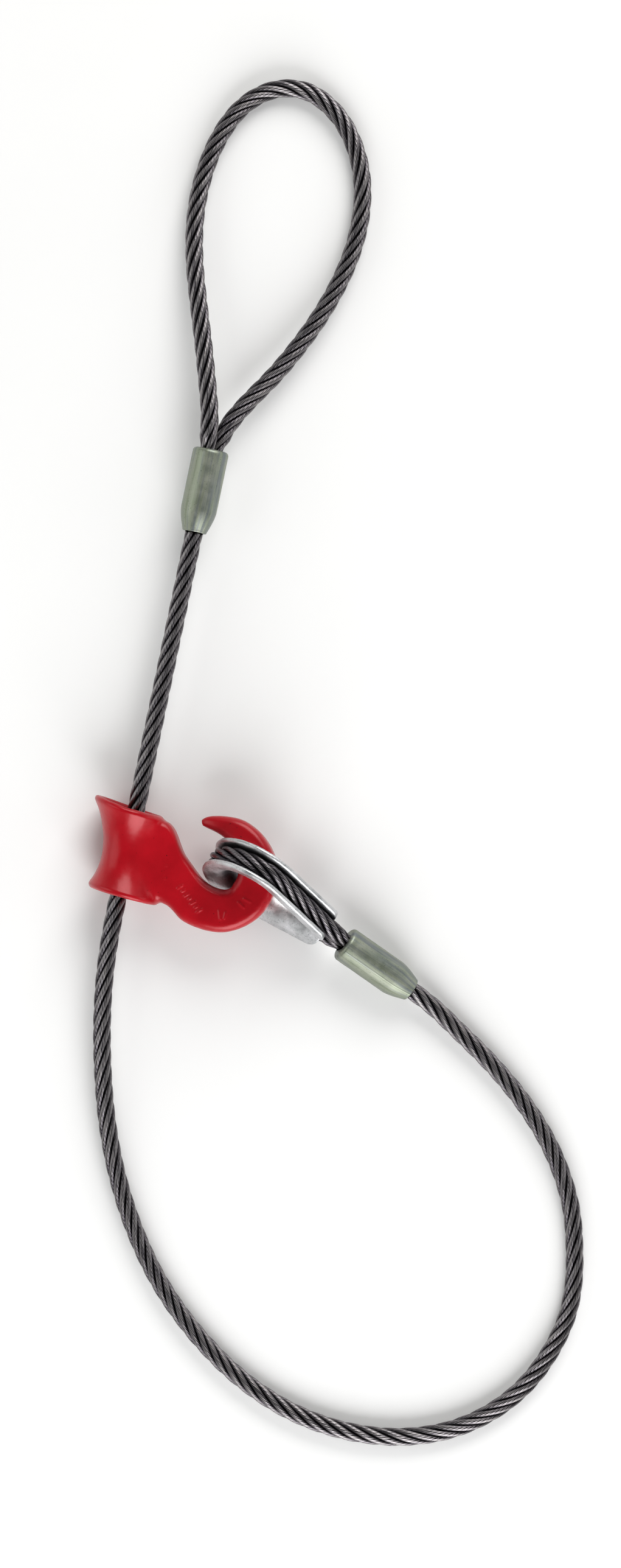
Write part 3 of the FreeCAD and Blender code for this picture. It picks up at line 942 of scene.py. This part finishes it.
# Raised marks on the hook's upper face, in its own plane: ends of each bar, or one place for a dot.
MARK_BARS = [
    ((19.0, -5.0), (22.6, -5.4)),
    ((18.4, -7.4), (21.6, -9.6)),
    ((18.2, -12.0), (22.4, -12.4)),
    ((18.0, -14.6), (20.6, -14.9)),
    ((51.6, -26.6), (52.6, -31.0)),
    ((55.2, -27.4), (54.6, -30.4)),
    ((61.4, -21.4), (64.4, -24.0)),
    ((64.2, -19.4), (67.4, -20.8)),
]
# A row of short strokes.  Every second one is shorter, by MARK_SHORTER of its length.
MARK_ROW_START = (30.4, -15.8)
MARK_ROW_END = (41.4, -27.4)
MARK_ROW_STROKES = 7
MARK_STROKE = (1.3, 0.9)
MARK_SHORTER = 0.4
MARK_RADIUS = 0.62
MARK_HEIGHT = 0.42


# How far the free side of the bell's upper rim rises.  In the hook's own millimetres, how far out
# that side is, and the heights on the bell where the lift starts and is full.
RIM_LIFT = 2.0 * MM
RIM_REACH = 18.0
RIM_HEIGHTS = (2, 22)
# The forging's remesh size, rounds of smoothing before and after the fairing, rounds of fairing,
# and the flowed paint's lumps, as pairs of width and height.
HOOK_VOXEL = 0.46 * MM
HOOK_FIRST_ROUNDS = 5
HOOK_LAST_ROUNDS = 2
FAIRING_ROUNDS = 260
PAINT_LUMPS = [(9 * MM, 0.16 * MM), (2.6 * MM, 0.03 * MM)]
# Where the arm is faired into the bell, in the hook's own millimetres: fading in and then out
# along the arm, and fading in with the distance from the bell's axis.
FAIRING_IN = (1, 6)
FAIRING_OUT = (17, 22)
FAIRING_FROM_AXIS = (9.5, 11.0)


def hook_marks():
    """Rounded bars and dots half sunk in the hook's upper face."""
    marks = [(Vector((*start, 0)), Vector((*end, 0))) for start, end in MARK_BARS]
    for number in range(MARK_ROW_STROKES):
        share = number / (MARK_ROW_STROKES - 1)
        middle = Vector((*MARK_ROW_START, 0)).lerp(Vector((*MARK_ROW_END, 0)), share)
        half = Vector((*MARK_STROKE, 0)) * (1 - MARK_SHORTER * (number % 2))
        marks.append((middle - half, middle + half))
    shape = bmesh.new()
    for start, end in marks:
        direction = (end - start).normalized()
        ball = bmesh.ops.create_icosphere(shape, subdivisions=3, radius=MARK_RADIUS)
        for vertex in ball["verts"]:
            vertex.co += end if vertex.co.dot(direction) > 0 else start
            vertex.co.z += HOOK_HALF_THICKNESS / MM + MARK_HEIGHT - MARK_RADIUS
    shape.transform(HOOK_FRAME @ Matrix.Scale(MM, 4))
    mesh = bpy.data.meshes.new("marks")
    shape.to_mesh(mesh)
    shape.free()
    return mesh


def with_rim_raised(points, local):
    """Lift the free side of the bell's upper rim, which was trimmed at more of a slant."""
    lift = RIM_LIFT * eased(local[:, 1], *RIM_HEIGHTS) * np.clip(-local[:, 0] / RIM_REACH, 0, 1)
    return points + lift[:, None] * np.array(HOOK_FRAME.to_3x3() @ Vector((0, 1, 0)))


def add_hook():
    """The forging: edges eased, the arm faired into the bell, and a flowed paint surface."""
    mesh = remeshed("hook_forging", "choker_hook", HOOK_VOXEL, hook_marks())
    points = smoothed(mesh, points_of(mesh), HOOK_FIRST_ROUNDS)
    inverse = np.array(HOOK_FRAME.inverted())
    local = (points @ inverse[:3, :3].T + inverse[:3, 3]) / MM
    from_axis = np.hypot(local[:, 0], local[:, 2])
    near_bell = eased(local[:, 0], *FAIRING_IN) * (1 - eased(local[:, 0], *FAIRING_OUT))
    weights = near_bell * eased(from_axis, *FAIRING_FROM_AXIS)
    points = faired(mesh, points, weights, FAIRING_ROUNDS)
    points = smoothed(mesh, points, HOOK_LAST_ROUNDS)
    points = with_rim_raised(points, local)
    points = roughened(points, mesh, PAINT_LUMPS)
    finished("hook_forging", mesh, points, RED_PAINT, "hook", "choker_hook")


# The thimble's remesh size, rounds of smoothing, and the zinc's lumps, as pairs of width and height.
THIMBLE_VOXEL = 0.40 * MM
THIMBLE_ROUNDS = 6
ZINC_LUMPS = [(7 * MM, 0.15 * MM), (1.8 * MM, 0.05 * MM)]
# Painted shade with oil in the groove, and a painted dark reflection round the crown: where each fades
# outside the groove and outside the crown, and how dark it is at most.
GROOVE_SHADE_FADE = (GROOVE_RADIUS + 0.6 * MM, GROOVE_RADIUS + 2.0 * MM)
GROOVE_SHADE_LIMIT = 0.9
CROWN_REFLECTION_FADE = (CROWN_RADIUS + 0.5 * MM, CROWN_RADIUS + 4.5 * MM)
CROWN_REFLECTION_LIMIT = 0.85


def thimble_shade_and_oil(points):
    """How dark each point is: with painted shade and the rope's oil inside the channel, and with a painted
    dark reflection round the inside of the crown.
    """
    path = evenly_spaced(thimble_line())
    tree = kdtree.KDTree(len(path))
    for number, place in enumerate(path):
        tree.insert(place, number)
    tree.balance()
    from_rope = np.array([tree.find(point)[2] for point in points])
    groove_shade = 1 - eased(from_rope, *GROOVE_SHADE_FADE)
    inverse = np.array(THIMBLE_FRAME.inverted())
    local = points @ inverse[:3, :3].T + inverse[:3, 3]
    from_crown = np.hypot(local[:, 0], local[:, 1])
    crown_reflection = 1 - eased(from_crown, *CROWN_REFLECTION_FADE)
    return np.maximum(GROOVE_SHADE_LIMIT * groove_shade, CROWN_REFLECTION_LIMIT * crown_reflection)


def add_thimble():
    mesh = remeshed("thimble_shell", "thimble", THIMBLE_VOXEL)
    points = smoothed(mesh, points_of(mesh), THIMBLE_ROUNDS)
    set_attribute(mesh, "shade_and_oil", "FLOAT", thimble_shade_and_oil(points))
    points = roughened(points, mesh, ZINC_LUMPS)
    finished("thimble_shell", mesh, points, GALVANIZED, "thimble_end", "thimble")


FLOOR_HALF = 14.0


def add_floor():
    half = FLOOR_HALF
    corners = [(-half, -half, 0), (half, -half, 0), (half, half, 0), (-half, half, 0)]
    floor = new_object("floor", corners, [(0, 1, 2, 3)], [make_floor_paint()])


# Soft lights: name, place, size, power and colour.
LIGHTS = [
    ("far_light", (0.7, 1.9, 1.5), 1.8, 46.0, (1.0, 0.99, 0.97)),
    ("near_light", (0.3, -1.9, 1.1), 1.9, 52.0, (1.0, 1.0, 1.0)),
    ("left_light", (-1.8, 0.2, 1.2), 1.8, 12.0, (0.98, 1.0, 0.97)),
    ("right_light", (2.0, 0.0, 0.8), 1.2, 3.5, (0.97, 0.99, 1.0)),
]
# The studio round it: pale at the horizon and dim overhead, with the heights where each begins.
SKY = [(0.05, (0.62, 0.62, 0.61)), (0.50, (0.15, 0.15, 0.15))]


def add_sky():
    world = bpy.data.worlds.new("studio")
    world.use_nodes = True
    nodes = world.node_tree.nodes
    links = world.node_tree.links
    place = nodes.new("ShaderNodeTexCoord")
    split = nodes.new("ShaderNodeSeparateXYZ")
    links.new(place.outputs["Generated"], split.inputs["Vector"])
    links.new(add_ramp(nodes, links, split.outputs["Z"], SKY), nodes["Background"].inputs["Color"])
    nodes["Background"].inputs["Strength"].default_value = 1.0
    bpy.context.scene.world = world
    bpy.context.scene.view_settings.view_transform = "Standard"


def add_lights():
    for name, place, size, power, colour in LIGHTS:
        data = bpy.data.lights.new(name, "AREA")
        data.shape = "DISK"
        data.size = size
        data.energy = power
        data.color = colour
        light = bpy.data.objects.new(name, data)
        light.location = place
        light.rotation_euler = (-Vector(place)).to_track_quat("-Z", "Y").to_euler()
        bpy.context.scene.collection.objects.link(light)


add_camera()
ROPE_STEEL = make_rope_steel()
CORE_STEEL = make_core_steel()
SLEEVE_ZINC = make_sleeve_zinc()
GALVANIZED = make_galvanized()
RED_PAINT = make_red_paint()
add_eye()
add_main_rope()
add_thimble_rope()
add_hook()
add_thimble()
add_sleeve(
    "eye_sleeve_shell",
    "eye_sleeve",
    "root",
    RUN_FRAME,
    legs_angle=124,
    flash_angle=45,
    nick_angle=100,
)
add_sleeve(
    "thimble_sleeve_shell",
    "thimble_sleeve",
    "thimble_end",
    THIMBLE_SLEEVE_FRAME,
    legs_angle=90 - THIMBLE_LEAN,
    flash_angle=110,
    nick_angle=250,
)
add_floor()
add_lights()
add_sky()
